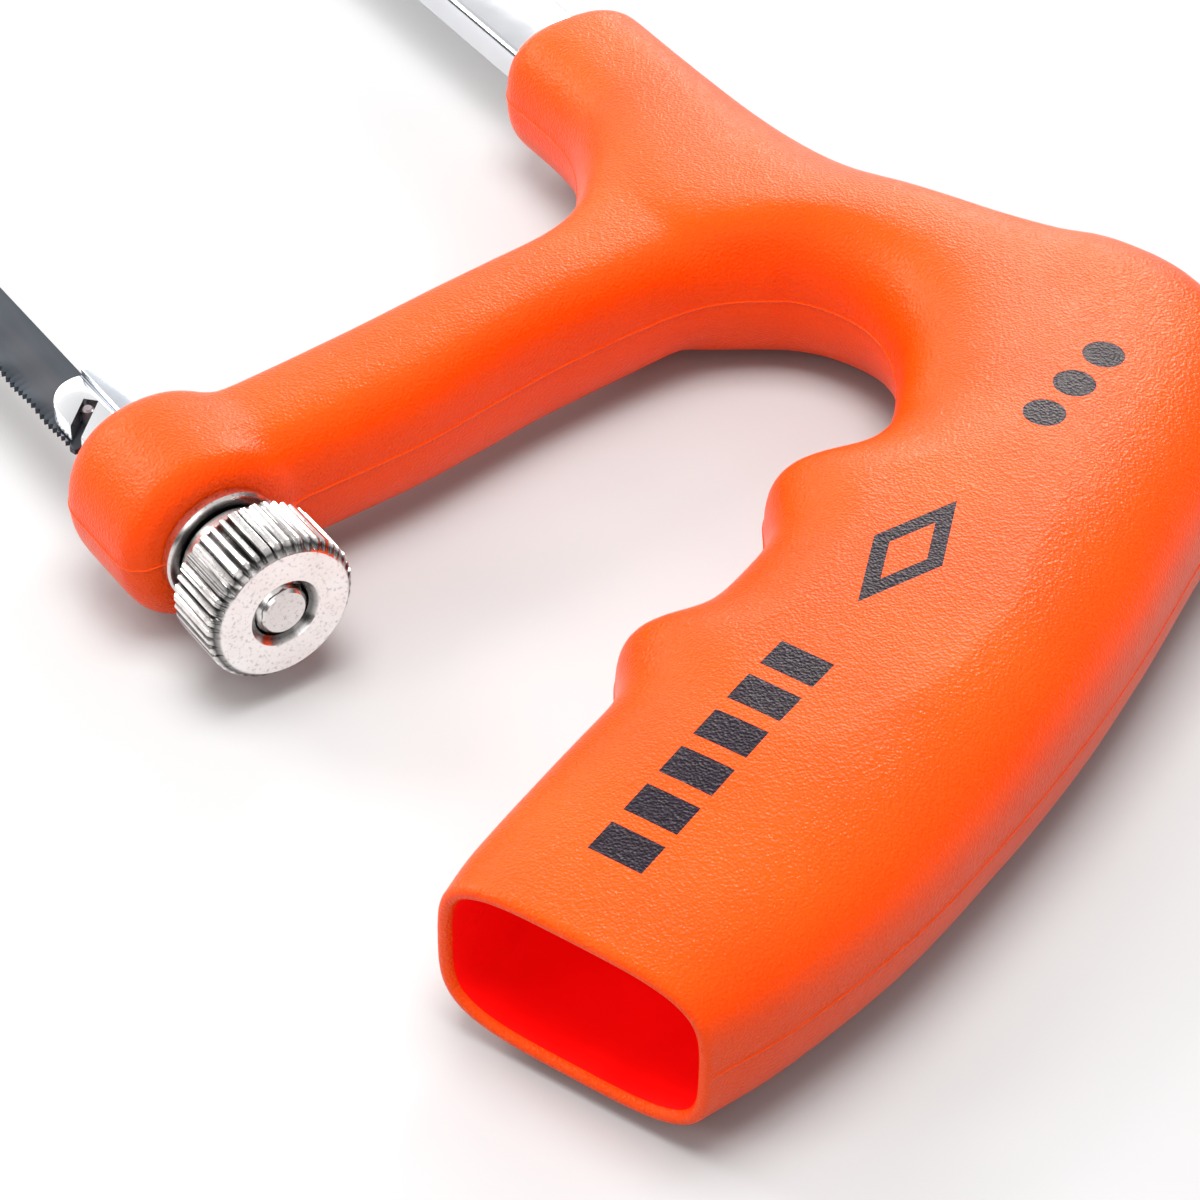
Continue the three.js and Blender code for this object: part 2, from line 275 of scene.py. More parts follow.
def quarter(centre, width, height, start):
    """Points on a quarter of an ellipse, anticlockwise from an angle in degrees."""
    count = 20
    turns = [math.radians(start + 90 * index / count) for index in range(count + 1)]
    return [(centre[0] + width * math.cos(turn), centre[1] + height * math.sin(turn)) for turn in turns]


# ---- Materials ----------------------------------------------------------------------------------

class Nodes:
    """A material's node tree with short calls for the nodes used here."""

    def __init__(self, name):
        self.material = bpy.data.materials.new(name)
        self.material.use_nodes = True
        self.tree = self.material.node_tree
        self.shader = self.tree.nodes["Principled BSDF"]
        self.place = self.tree.nodes.new("ShaderNodeTexCoord").outputs["Object"]

    def add(self, kind, **inputs):
        node = self.tree.nodes.new(kind)
        for key, value in inputs.items():
            if hasattr(node, key) and not key[0].isupper():
                setattr(node, key, value)
            else:
                self.feed(node.inputs[key.replace("_", " ")], value)
        return node

    def feed(self, socket, value):
        if isinstance(value, bpy.types.NodeSocket):
            self.tree.links.new(value, socket)
        else:
            socket.default_value = value

    def noise(self, scale, detail=2.0, roughness=0.5, vector=None):
        node = self.add("ShaderNodeTexNoise", Scale=scale, Detail=detail, Roughness=roughness)
        self.feed(node.inputs["Vector"], vector or self.place)
        return node.outputs["Fac"]

    def stretched(self, x, y, z):
        node = self.add("ShaderNodeMapping", Scale=(x, y, z))
        self.feed(node.inputs["Vector"], self.place)
        return node.outputs["Vector"]

    def ramp(self, factor, *stops):
        node = self.tree.nodes.new("ShaderNodeValToRGB")
        self.feed(node.inputs["Fac"], factor)
        elements = node.color_ramp.elements
        while len(elements) < len(stops):
            elements.new(0.5)
        for element, (position, color) in zip(elements, stops):
            element.position = position
            element.color = (*color, 1) if isinstance(color, tuple) else (color, color, color, 1)
        return node.outputs["Color"]

    def span(self, factor, low, high):
        node = self.add("ShaderNodeMapRange", To_Min=low, To_Max=high)
        self.feed(node.inputs["Value"], factor)
        return node.outputs["Result"]

    def math(self, operation, first, second=0.0):
        node = self.tree.nodes.new("ShaderNodeMath")
        node.operation = operation
        self.feed(node.inputs[0], first)
        self.feed(node.inputs[1], second)
        return node.outputs[0]

    def mix(self, factor, first, second):
        node = self.tree.nodes.new("ShaderNodeMix")
        node.data_type = "RGBA"
        self.feed(node.inputs[0], factor)
        self.feed(node.inputs[6], first)
        self.feed(node.inputs[7], second)
        return node.outputs[2]

    def product(self, first, second):
        mixed = self.mix(1.0, first, second)
        mixed.node.blend_type = "MULTIPLY"
        return mixed

    def bump(self, height, distance, strength=1.0, normal=None):
        node = self.add("ShaderNodeBump", Strength=strength, Distance=distance)
        self.feed(node.inputs["Height"], height)
        if normal:
            self.feed(node.inputs["Normal"], normal)
        return node.outputs["Normal"]

    def done(self, **sockets):
        for key, value in sockets.items():
            self.feed(self.shader.inputs[key.replace("_", " ")], value)
        return self.material


def srgb(red, green, blue):
    def linear(value):
        value /= 255
        return value / 12.92 if value <= 0.04045 else ((value + 0.055) / 1.055) ** 2.4
    return tuple(linear(value) for value in (red, green, blue))


def distance_from_axis(nodes):
    """How far a point lies from the drawbolt's axis, in millimetres."""
    split = nodes.add("ShaderNodeSeparateXYZ", Vector=nodes.place)
    y = nodes.math("SUBTRACT", split.outputs["Y"], DATUM.y)
    z = nodes.math("SUBTRACT", split.outputs["Z"], DATUM.z)
    squares = nodes.math("ADD", nodes.math("MULTIPLY", y, y), nodes.math("MULTIPLY", z, z))
    return nodes.math("DIVIDE", nodes.math("SQRT", squares), MM)


def print_mask(nodes):
    """1 where the cheek is printed: six plain blocks, a diamond ring and three dots up the grip."""
    split = nodes.add("ShaderNodeSeparateXYZ", Vector=nodes.place)
    x = nodes.math("SUBTRACT", split.outputs["X"], DATUM.x + MOUTH.x * MM)
    y = nodes.math("SUBTRACT", split.outputs["Y"], DATUM.y + MOUTH.y * MM)
    sine, cosine = math.sin(MOUTH_SLANT), math.cos(MOUTH_SLANT)
    along = nodes.math("SUBTRACT", nodes.math("MULTIPLY", y, cosine), nodes.math("MULTIPLY", x, sine))
    across = nodes.math("ADD", nodes.math("MULTIPLY", x, cosine), nodes.math("MULTIPLY", y, sine))
    across = nodes.math("ABSOLUTE", nodes.math("ADD", across, PRINT_OFFSET * MM))

    def distance(value, place):
        return nodes.math("ABSOLUTE", nodes.math("SUBTRACT", value, place * MM))

    def within(value, limit):
        return nodes.math("LESS_THAN", value, limit * MM)

    def both(first, second):
        return nodes.math("MULTIPLY", first, second)

    blocks = nodes.math("WRAP", nodes.math("SUBTRACT", along, BLOCKS_START * MM), 0.0)
    blocks.node.inputs[1].default_value = BLOCK_PITCH * MM
    blocks.node.inputs[2].default_value = 0.0
    block_band = within(distance(along, BLOCKS_START + BLOCKS * BLOCK_PITCH / 2), BLOCKS * BLOCK_PITCH / 2)
    block = both(both(within(blocks, BLOCK_LENGTH), block_band), within(across, BLOCK_HALF))
    slanted = nodes.math("MULTIPLY", distance(along, DIAMOND_PLACE), DIAMOND_SLIMNESS)
    reach = nodes.math("ADD", slanted, across)
    outside_hole = nodes.math("SUBTRACT", 1.0, within(reach, DIAMOND_HALF - DIAMOND_LINE))
    diamond = both(within(reach, DIAMOND_HALF), outside_hole)
    mask = nodes.math("MAXIMUM", block, diamond)
    for dot in range(DOTS):
        offset = distance(along, DOTS_START + dot * DOT_PITCH)
        radius = nodes.math("SQRT", nodes.math("ADD", both(offset, offset), both(across, across)))
        mask = nodes.math("MAXIMUM", mask, within(radius, DOT_RADIUS))
    upper_side = nodes.math("GREATER_THAN", split.outputs["Z"], DATUM.z + SIDE_FLAT * MM / 2)
    return both(mask, upper_side)


def orange_plastic():
    nodes = Nodes("handle_plastic")
    cloud = nodes.noise(60, 3)
    orange = nodes.ramp(cloud, (0.3, srgb(228, 63, 2)), (0.7, srgb(233, 70, 4)))
    speckle = nodes.noise(1800, 3)
    ink = nodes.ramp(speckle, (0.35, srgb(12, 8, 24)), (0.75, srgb(28, 20, 36)))
    printed = print_mask(nodes)
    color = nodes.mix(printed, orange, ink)
    pebbles = nodes.add("ShaderNodeTexVoronoi", feature="SMOOTH_F1", Scale=3600, Smoothness=0.4,
                        Randomness=1.0)
    nodes.feed(pebbles.inputs["Vector"], nodes.place)
    waves = nodes.noise(300, 2)
    normal = nodes.bump(nodes.noise(4800, 2, 0.6), 0.0001, 0.55, nodes.bump(waves, 0.00015, 0.1))
    normal = nodes.bump(pebbles.outputs["Distance"], 0.0001, 0.65, normal)
    roughness = nodes.span(nodes.noise(900, 3), 0.26, 0.36)
    return nodes.done(Base_Color=color, Roughness=roughness, Normal=normal,
                      Specular_IOR_Level=0.26, Specular_Tint=(1.0, 0.78, 0.5, 1.0), Subsurface_Weight=0.15,
                      Subsurface_Radius=(1.0, 0.08, 0.02), Subsurface_Scale=0.001)


def painted_glow_inside():
    """The hollow's own walls: smoother plastic, with a painted deep red base colour and a painted glow that
    stand in for the light coming through them.
    """
    nodes = Nodes("handle_plastic_inside_painted_glow")
    cloud = nodes.noise(120, 3)
    color = nodes.ramp(cloud, (0.3, srgb(226, 6, 4)), (0.7, srgb(236, 14, 8)))
    # Painted glow: an emission that stands in for the light coming through the walls; the deep red base
    # colour above is painted light too.
    painted_glow = nodes.ramp(nodes.noise(50, 2), (0.3, srgb(176, 0, 3)), (0.7, srgb(196, 2, 6)))
    normal = nodes.bump(nodes.noise(900, 2), 0.00005, 0.3)
    roughness = nodes.span(nodes.noise(700, 2), 0.4, 0.5)
    return nodes.done(Base_Color=color, Roughness=roughness, Normal=normal, Specular_IOR_Level=0.15,
                      Emission_Color=painted_glow, Emission_Strength=0.3)


def chrome(name, dark, light):
    """Chromed steel between two tones; on the drawbolt's head, painted shade lines the rib's foot, and the
    rib's top has a painted dimmer, bluish reflection.
    """
    painted_shade_half, flat_room, rib_room = 0.22, 0.05, 0.12
    nodes = Nodes(name)
    smear = nodes.noise(40, 3)
    color = nodes.ramp(smear, (0.3, dark), (0.7, light))
    split = nodes.add("ShaderNodeSeparateXYZ", Vector=nodes.place)
    from_step = nodes.math("ABSOLUTE", nodes.math("SUBTRACT", split.outputs["Y"], DATUM.y + RIB_LOW * MM))
    on_step = nodes.math("LESS_THAN", from_step, painted_shade_half * MM)
    above_flat = nodes.math("GREATER_THAN", split.outputs["Z"], DATUM.z + (HEAD_HALF - flat_room) * MM)
    on_rib = nodes.math("GREATER_THAN", split.outputs["Z"], DATUM.z + (RIB_HALF - rib_room) * MM)
    # Painted shade along the step at the rib's foot, and a painted dimmer, bluish reflection on the rib's
    # top.
    painted_shade = nodes.ramp(smear, (0.3, (0.12, 0.13, 0.15)), (0.7, (0.2, 0.21, 0.23)))
    painted_rib_reflection = nodes.ramp(smear, (0.3, (0.62, 0.65, 0.72)), (0.7, (0.7, 0.73, 0.79)))
    color = nodes.mix(nodes.math("MULTIPLY", on_step, above_flat), color, painted_shade)
    color = nodes.mix(on_rib, color, painted_rib_reflection)
    roughness = nodes.span(nodes.noise(300, 4), 0.1, 0.2)
    ripple = nodes.bump(nodes.noise(700, 2), 0.00002, 0.25)
    return nodes.done(Base_Color=color, Metallic=1.0, Roughness=roughness, Normal=ripple)


def plated_steel(name, *shades):
    """Plated steel, worn, and darkened by painted shade at some distances from the drawbolt's axis."""
    nodes = Nodes(name)
    smear = nodes.noise(250, 3)
    clean = nodes.ramp(smear, (0.3, (0.92, 0.87, 0.85)), (0.7, (1.0, 0.97, 0.96)))
    pits = nodes.ramp(nodes.noise(2600, 4, 0.7), (0.34, 0.62), (0.46, 1.0))
    part = nodes.math("DIVIDE", distance_from_axis(nodes), NUT_RADIUS + 1)
    # Painted shade by distance from the axis: dark in the nut's bore, the knurl's grooves and chamfer, and
    # over the washer's face.
    painted_shade_by_radius = nodes.ramp(part, *[(radius / (NUT_RADIUS + 1), shade) for radius, shade in shades])
    color = nodes.product(nodes.product(clean, painted_shade_by_radius), pits)
    roughness = nodes.span(nodes.noise(800, 3), 0.16, 0.28)
    scratches = nodes.noise(1.0, 3, vector=nodes.stretched(5000, 700, 700))
    normal = nodes.bump(scratches, 0.00002, 0.4)
    return nodes.done(Base_Color=color, Metallic=1.0, Roughness=roughness, Normal=normal)


def blade_steel():
    nodes = Nodes("blade_steel")
    smear = nodes.noise(1.0, 3, vector=nodes.stretched(60, 400, 400))
    color = nodes.ramp(smear, (0.3, srgb(58, 65, 73)), (0.7, srgb(76, 76, 80)))
    roughness = nodes.span(nodes.noise(500, 3), 0.28, 0.45)
    brushed = nodes.bump(nodes.noise(1.0, 2, vector=nodes.stretched(200, 9000, 9000)), 0.00001, 0.4)
    return nodes.done(Base_Color=color, Metallic=0.85, Roughness=roughness, Normal=brushed)


def pin_steel():
    nodes = Nodes("pin_steel")
    color = nodes.ramp(nodes.noise(600, 3), (0.3, srgb(132, 124, 128)), (0.7, srgb(165, 158, 160)))
    roughness = nodes.span(nodes.noise(1500, 2), 0.3, 0.5)
    normal = nodes.bump(nodes.noise(2500, 2), 0.00001, 0.4)
    return nodes.done(Base_Color=color, Metallic=0.9, Roughness=roughness, Normal=normal)


# ---- Handle -------------------------------------------------------------------------------------

SKIN_CELL = 0.45
# Where the stretches join: x, y and how far round that point the skin is relaxed.
JOINTS_TO_SOFTEN = [(17, 57, 7), (5, 47, 8), (38, 61, 8), (34, 80, 9), (45, 84, 9), (44, 70, 12)]


def grip_point(at, across, up):
    """A point given up the grip, across it and up from mid-thickness, in the saw's own axes."""
    sine, cosine = math.sin(MOUTH_SLANT), math.cos(MOUTH_SLANT)
    return MOUTH.x - at * sine + across * cosine, MOUTH.y + at * cosine + across * sine, up


def ridge(place, centre, height, width):
    return height * math.exp(-((place - centre) / width) ** 2)


def grip_sections():
    front = smooth_curve([(0, -12.9), (5, -13.8), (16, -14.5), (26, -14.8), (46, -15), (72, -15.6),
                          (79, -19.2), (90, -22), (98, -20), (GRIP_LENGTH, -14)])
    back = smooth_curve([(0, 12.3), (8, 14.9), (22, 17.3), (36, 17.7), (50, 17.2), (61, 16.1), (74, 14.2),
                         (82, 13.2), (90, 11.2), (96.5, 7), (100, 2.8), (103, -2.4), (GRIP_LENGTH, -9)])
    half = smooth_curve([(0, 8.1), (12, 8.7), (26, 9.6), (40, 10), (56, 10), (72, 9.5), (90, 9)])
    for at in steps(-3, GRIP_LENGTH, 0.8):
        low = front(at) - ridge(at, 33.3, 3.6, 4.2) - ridge(at, 57.8, 4.7, 5.2)
        yield at, low, back(at), half(at) * max(rounded_end(GRIP_LENGTH - at, 9), 0.3)


def web_sections():
    nose = -24.5
    low = smooth_curve([(nose, 57), (-13, 57.2), (-8, 56.4), (-4, 54.3), (0, 51.3), (4, 48.3), (9, 47),
                        (14, 50), (17.4, 56), (19.4, 59.6), (22.6, 62.5), (27.5, 64.3), (31.5, 64),
                        (35.6, 62.2), (40, 58.5), (45, 53)])
    high = smooth_curve([(nose, 73), (-3, 73), (10, 74.7), (18.8, 77.7), (27.7, 82), (36.2, 87.6),
                         (45, 88.6)])
    half = smooth_curve([(nose, 7), (-10, 7.2), (4, 8), (20, 8.6), (45, 8.9)])
    for at in steps(nose, 45, 0.8):
        shrink = max(rounded_end(at - nose, 5), 0.6)
        centre, reach = (low(at) + high(at)) / 2, shrink * (high(at) - low(at)) / 2
        yield at, centre - reach, centre + reach, shrink * half(at)


def guard_sections():
    front = smooth_curve([(0, 8.4), (8, 8.2), (20, 7.2), (36, 5.9), (44, 4.9), (49, 2.6), (53, -1.5),
                          (58, -6)])
    rear = smooth_curve([(0, 20.2), (12, 19.9), (22, 19.5), (30, 18.3), (38, 17.2), (50, 16.7), (55, 17.4),
                         (59, 19.4), (61, 21.4)])
    half = smooth_curve([(0, 8.4), (2, 8.3), (4.5, 7.8), (6.8, 7.15), (7.6, 7.1), (20, 7.1), (30, 7.4)])
    for at in steps(0, 60, 0.6):
        yield at, front(at), rear(at), half(at)


def boss_sections():
    length = BOSS_REAR - BOSS_FRONT
    for at in steps(0, length, 0.4):
        scale = min(rounded_end(at + 0.8, 5.6), rounded_end(length - at + 1.2, 3))
        yield at, -BOSS_REACH * scale, BOSS_REACH * scale, BOSS_HALF * scale


def handle_blank():
    """The moulding's outside: four lofted stretches made one skin by a voxel remesh."""
    stretches = (
        loft(list(grip_sections()), smooth_curve([(0, 3.7), (10, 3.3), (26, 2.8)]), grip_point, 96),
        loft(list(web_sections()), lambda at: 2.7, lambda at, across, up: (at, across, up), 96),
        loft(list(guard_sections()), lambda at: 3.2, lambda at, across, up: (across, at, up), 80),
        loft(list(boss_sections()), lambda at: 2.15,
             lambda at, across, up: (BOSS_FRONT + at, across, up), 96),
    )
    vertices, faces = [], []
    for corners, sides in stretches:
        shift = len(vertices)
        vertices += corners
        faces += [tuple(index + shift for index in side) for side in sides]
    piece = make_object("handle_shell", fix_normals(mesh_from("handle_shell", vertices, faces)))
    remesh = piece.modifiers.new("skin", "REMESH")
    remesh.mode = "VOXEL"
    remesh.voxel_size = SKIN_CELL * MM
    return apply_modifiers(piece)


def soften(piece, areas, everywhere, rounds):
    """Relaxes the skin: a little everywhere, and strongly round the points listed in areas."""
    mesh = piece.data
    points = np.empty(len(mesh.vertices) * 3)
    mesh.vertices.foreach_get("co", points)
    points = points.reshape(-1, 3)
    edges = np.empty(len(mesh.edges) * 2, dtype=np.int64)
    mesh.edges.foreach_get("vertices", edges)
    first, second = edges.reshape(-1, 2).T
    degree = np.bincount(np.concatenate((first, second)), minlength=len(points))[:, None]
    weight = np.full(len(points), everywhere)
    for x, y, radius in areas:
        centre = np.array(to_row((x, y, 0)))
        away = np.hypot(points[:, 0] - centre[0], points[:, 1] - centre[1]) / (radius * MM)
        weight = np.maximum(weight, np.exp(-away ** 2))
    weight = np.clip(weight, 0, 1)[:, None]
    pull = 0.6
    for _ in range(rounds):
        total = np.zeros_like(points)
        for axis in range(3):
            total[:, axis] = (np.bincount(first, points[second, axis], len(points))
                              + np.bincount(second, points[first, axis], len(points)))
        points += pull * weight * (total / degree - points)
    points[:, 2] = np.clip(points[:, 2], DATUM.z - SIDE_FLAT * MM, DATUM.z + SIDE_FLAT * MM)
    mesh.vertices.foreach_set("co", points.ravel())
    mesh.update()


def open_mouth(piece):
    """Cuts the grip's foot flat and lines it with a rounded rim and a tapering hollow."""
    wall, taper, rim_start = 1.25, 0.25, 0.55
    work = bmesh.new()
    work.from_mesh(piece.data)
    bmesh.ops.bisect_plane(work, geom=work.verts[:] + work.edges[:] + work.faces[:], dist=1e-7,
                           plane_co=to_row(MOUTH + GRIP_ALONG * rim_start), plane_no=GRIP_ALONG,
                           clear_inner=True)
    rim = [vertex for vertex in work.verts if vertex.is_boundary]
    flat = {}
    for vertex in rim:
        offset = (vertex.co - DATUM) / MM - MOUTH
        flat[vertex] = Vector((offset.dot(GRIP_ACROSS), offset.z))
    rim.sort(key=lambda vertex: math.atan2(flat[vertex].y, flat[vertex].x))
    outer = [flat[vertex] for vertex in rim]
    count = len(outer)
    inward = []
    for index in range(count):
        run = outer[(index + 2) % count] - outer[index - 2]
        inward.append(Vector((-run.y, run.x)).normalized())
    profile = [(0.08, 0.28), (0.3, 0.06), (0.6, 0.0), (0.9, 0.04), (wall - 0.15, 0.2), (wall, 0.6)]
    profile += [(wall, depth) for depth in (2, 5, 10, 20, 30, 40, 50, 56, 59, HOLLOW_LENGTH)]
    last = rim
    for inset, depth in profile:
        closing = 1 - taper * depth / HOLLOW_LENGTH
        if depth > HOLLOW_LENGTH - 6:
            closing *= rounded_end(HOLLOW_LENGTH - depth + 1, 7)
        ring = []
        for index in range(count):
            spot = (outer[index] + inward[index] * inset) * closing
            place = MOUTH + GRIP_ALONG * depth + GRIP_ACROSS * spot.x + Vector((0, 0, spot.y))
            ring.append(work.verts.new(to_row(place)))
        for index in range(count):
            after = (index + 1) % count
            face = work.faces.new((last[index], last[after], ring[after], ring[index]))
            # The hollow's walls take material 1, the painted deep red and painted glow.
            face.material_index = 1 if inset == wall and depth > 1 else 0
        last = ring
    work.faces.new(last).material_index = 1
    bmesh.ops.recalc_face_normals(work, faces=work.faces)
    work.to_mesh(piece.data)
    work.free()


def raise_parting_line(piece):
    """A fine flash line runs round the moulding where the two halves of the mould met."""
    width, height = 0.16 * MM, 0.09 * MM
    work = bmesh.new()
    work.from_mesh(piece.data)
    level = DATUM.z
    for offset in (-width, 0, width):
        bmesh.ops.bisect_plane(work, geom=work.verts[:] + work.edges[:] + work.faces[:], dist=1e-7,
                               plane_co=(0, 0, level + offset), plane_no=(0, 0, 1))
    work.normal_update()
    moves = []
    for vertex in work.verts:
        if abs(vertex.co.z - level) > 1e-6:
            continue
        reach = (vertex.co - DATUM) / MM - MOUTH
        depth = reach.dot(GRIP_ALONG)
        inside = depth < HOLLOW_LENGTH + 1 and abs(reach.dot(GRIP_ACROSS)) < 10
        if not inside and depth > 0.5:
            moves.append((vertex, vertex.normal * height))
    for vertex, move in moves:
        vertex.co += move
    work.to_mesh(piece.data)
    work.free()


def make_handle():
    piece = handle_blank()
    piece.data.materials.clear()
    piece.data.materials.append(PLASTIC)
    piece.data.materials.append(INSIDE_PAINTED_GLOW)
    soften(piece, JOINTS_TO_SOFTEN, 0.28, 30)
    pocket_half = HEAD_HALF + GAP
    pocket = box_piece((0, HEAD_LOW - GAP, -pocket_half), (HEAD_END + GAP, HEAD_HIGH + GAP, pocket_half))
    rib_half = RIB_HALF + GAP
    rib_pocket = box_piece((0, RIB_LOW - GAP, -rib_half), (HEAD_END + GAP, HEAD_HIGH + GAP, rib_half))
    cut(piece, pocket, rib_pocket)
    open_mouth(piece)
    raise_parting_line(piece)
    shade(piece, 50)
    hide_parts("handle")
    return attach(piece, "frame")


# ---- Metal parts --------------------------------------------------------------------------------

def seat_cutters(pin, side, slit_start, slit_end):
    slit_half = BLADE_THICKNESS / 2 + GAP
    notch_half = PIN_RADIUS + 0.14
    slit = box_piece((slit_start, pin.y - 20, -slit_half),
                     (slit_end, REAR_PIN.y + BLADE_WIDTH / 2 + GAP, slit_half))
    slant = math.radians(-NOTCH_SLANT if side > 0 else 180 + NOTCH_SLANT)
    notch = box_piece((-notch_half - 0.3, -notch_half, -10), (12, notch_half, 10), slant, pin)
    return slit, notch


def make_frame_bar():
    front_pin = REAR_PIN - Vector((BLADE_LENGTH, 0, 0))
    leg_rear, leg_front = front_pin.x + BAR_WIDTH / 2, front_pin.x - BAR_WIDTH / 2
    leg_end, tip = HEAD_LOW - 0.8, 3.0
    high = BAR_LOW + BAR_WIDTH
    corner = (leg_rear + CORNER_RADIUS, BAR_LOW - CORNER_RADIUS)
    outline = [(BAR_TAIL, BAR_LOW), (BAR_TAIL, high)]
    outline += arc(corner, CORNER_RADIUS + BAR_WIDTH, 90, 180, 24)
    outline += arc((leg_front + tip, leg_end + tip), tip, 180, 270, 8)
    outline += arc((leg_rear - tip, leg_end + tip), tip, 270, 360, 8)
    outline += arc(corner, CORNER_RADIUS, 180, 90, 16)
    piece = make_object("frame_bar_detail", plate("frame_bar_detail", outline, BAR_THICKNESS), CHROME_BAR)
    bevel(piece, 0.8, 4, 50)
    cut(piece, *seat_cutters(front_pin, -1, leg_front - 1, leg_rear + 1))
    shade(piece, 30)
    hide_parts("frame_bar")
    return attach(piece, "frame")


def make_blade():
    """The blade, with a real tooth for each 32nd of an inch from end to end and a wavy set."""
    pitch, depth = 25.4 / 32, 0.42
    set_reach, set_wave = 0.16, 8 * 25.4 / 32
    half, thick, soft_edge = BLADE_WIDTH / 2, BLADE_THICKNESS / 2, 0.12
    flat_end, fold = 1.6 - half, 0.9 - half
    start = REAR_PIN.x - BLADE_LENGTH - BLADE_TAIL
    end = REAR_PIN.x + BLADE_TAIL
    corner, plain_end = 0.6, 0.25
    teeth = int((end - start - 2 * plain_end) / pitch)
    toothed = start + plain_end
    columns = [(start, half - corner, -half + 0.2)]
    for tooth in range(teeth):
        x = toothed + tooth * pitch
        columns += [(x, half, -half), (x + 0.2 * pitch, half, -half + depth),
                    (x + 0.6 * pitch, half, -half + depth / 2)]
    columns += [(toothed + teeth * pitch, half, -half), (end, half - corner, -half + 0.2)]
    vertices = []
    for x, top, bottom in columns:
        bend = set_reach * math.sin(2 * math.pi * x / set_wave)
        top = min(top, half - corner + min(x - start, end - x))
        ring = [(top, 0), (top - soft_edge * 0.3, thick - soft_edge), (top - soft_edge, thick),
                (flat_end, thick), (fold, thick + bend * 0.5), (bottom, thick * 0.8 + bend),
                (bottom, -thick * 0.8 + bend), (fold, -thick + bend * 0.5), (flat_end, -thick),
                (top - soft_edge, -thick), (top - soft_edge * 0.3, -thick + soft_edge)]
        vertices += [(x, REAR_PIN.y + y, z) for y, z in ring]
    faces = tube_faces(len(columns), len(ring))
    piece = make_object("blade_detail", fix_normals(mesh_from("blade_detail", vertices, faces)), BLADE)
    shade(piece, 25)
    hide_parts("blade")
    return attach(piece, "blade")


def make_pin(node):
    low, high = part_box(node)
    centre = (middle(node) - DATUM) / MM
    half = (high[2] - low[2]) / 2 / MM
    chamfer = 0.18
    profile = [(-half, 0.01), (-half, PIN_RADIUS - chamfer), (-half + chamfer, PIN_RADIUS),
               (half - chamfer, PIN_RADIUS), (half, PIN_RADIUS - chamfer), (half, 0.01)]
    sides = 40
    vertices = [(centre.x + radius * math.cos(2 * math.pi * side / sides),
                 centre.y + radius * math.sin(2 * math.pi * side / sides), centre.z + along)
                for along, radius in profile for side in range(sides)]
    faces = tube_faces(len(profile), sides)
    piece = make_object(node + "_detail", fix_normals(mesh_from(node, vertices, faces)), PIN)
    shade(piece, 30)
    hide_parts(node)
    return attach(piece, "blade")


def make_drawbolt_head():
    """The flat head, thicker along its upper edge, with the blade's slit and the pin's notch cut through."""
    outline = [(HEAD_END, HEAD_LOW), (HEAD_END, HEAD_HIGH)]
    outline += quarter((0, NOSE_MIDDLE), -HEAD_TIP, HEAD_HIGH - NOSE_MIDDLE, 90)
    outline += quarter((NOSE_RUN, NOSE_MIDDLE), NOSE_RUN - HEAD_TIP, NOSE_MIDDLE - HEAD_LOW, 180)[1:]
    piece = make_object("drawbolt_head", plate("drawbolt_head", outline, 2 * RIB_HALF), CHROME_HEAD)
    above, below = [box_piece((HEAD_TIP - 1, HEAD_LOW - 1, low), (HEAD_END + 1, RIB_LOW, high))
                    for low, high in ((HEAD_HALF, RIB_HALF + 1), (-RIB_HALF - 1, -HEAD_HALF))]
    under = box_piece((HEAD_TIP - 1, HEAD_LOW - 1, -RIB_HALF - 1),
                      (HEAD_END + 1, UNDER_LOW, -BLADE_THICKNESS / 2))
    cut(piece, above, below, under)
    bevel(piece, 0.22, 3, 50)
    cut(piece, *seat_cutters(REAR_PIN, 1, HEAD_TIP - 1, REAR_PIN.x + BLADE_TAIL + 5.5))
    bevel(piece, 0.08, 2, 50)
    shade(piece, 30)
    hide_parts("drawbolt")
    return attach(piece, "draw")


def make_drawbolt_shank():
    sides, depth, chamfer = 64, 0.42, 0.55
    vertices = []
    rows = steps(HEAD_END - 2, BOLT_END, 0.08)
    for along in rows:
        for side in range(sides):
            turn = side / sides
            phase = (along / THREAD_PITCH - turn) % 1
            radius = THREAD_RADIUS - depth * abs(2 * phase - 1) ** 0.9
            radius = min(radius, THREAD_RADIUS - 0.5 + (BOLT_END - along) / chamfer * 0.5)
            angle = 2 * math.pi * turn
            vertices.append((along, radius * math.cos(angle), radius * math.sin(angle)))
    faces = tube_faces(len(rows), sides)
    piece = make_object("drawbolt_thread", fix_normals(mesh_from("drawbolt_thread", vertices, faces)), PLATED)
    shade(piece, 30)
    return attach(piece, "draw")


def make_washer():
    low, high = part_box("flange_washer")
    start, end = (low[0] - DATUM.x) / MM, (high[0] - DATUM.x) / MM
    outer, inner, edge = (high[1] - low[1]) / 2 / MM, THREAD_RADIUS + GAP, 0.2
    seat = start - GAP
    profile = [(seat, inner), (seat, outer - edge), (seat + edge, outer), (end - edge, outer),
               (end, outer - edge), (end, inner)]
    piece = make_object("flange_washer_detail", fix_normals(revolve("flange_washer_detail", profile, 96)),
                        PLATED_WASHER)
    shade(piece, 30)
    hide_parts("flange_washer")
    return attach(piece, "frame")


